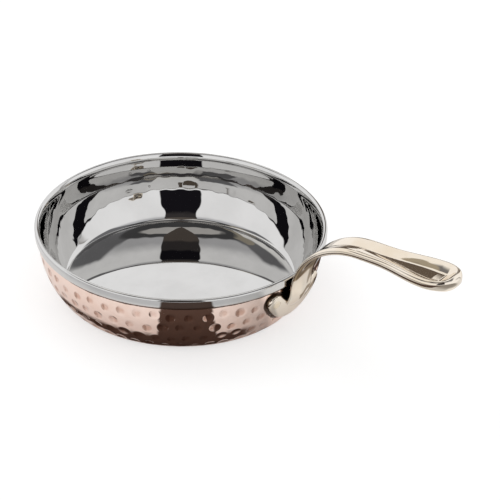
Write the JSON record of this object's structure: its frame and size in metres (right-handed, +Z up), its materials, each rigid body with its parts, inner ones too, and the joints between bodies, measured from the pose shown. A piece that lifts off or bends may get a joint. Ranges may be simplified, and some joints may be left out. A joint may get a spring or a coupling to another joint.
{
  "type": "serving pan",
  "caption": "Small round serving pan with a hammered copper outside, a polished steel inside with a rolled rim, and one arched brass handle with a thumb channel.",
  "frame": {"origin": "centre of the flat underside of the base, on the pan's own axis", "axes": "+Z up along the pan's axis, +X along the handle, away from the pan"},
  "size_m": [0.3215, 0.2, 0.0937],
  "materials": {
    "polished_steel": "mirror polished stainless steel",
    "hammered_copper": "polished copper with round hammer marks",
    "polished_brass": "polished cast brass",
    "rivet_brass": "polished"
  },
  "bodies": {
    "root": {"steel_liner": "polished_steel", "copper_jacket": "hammered_copper", "handle": "polished_brass", "rivet_left": "rivet_brass", "rivet_right": "rivet_brass"}
  },
  "joints": []
}
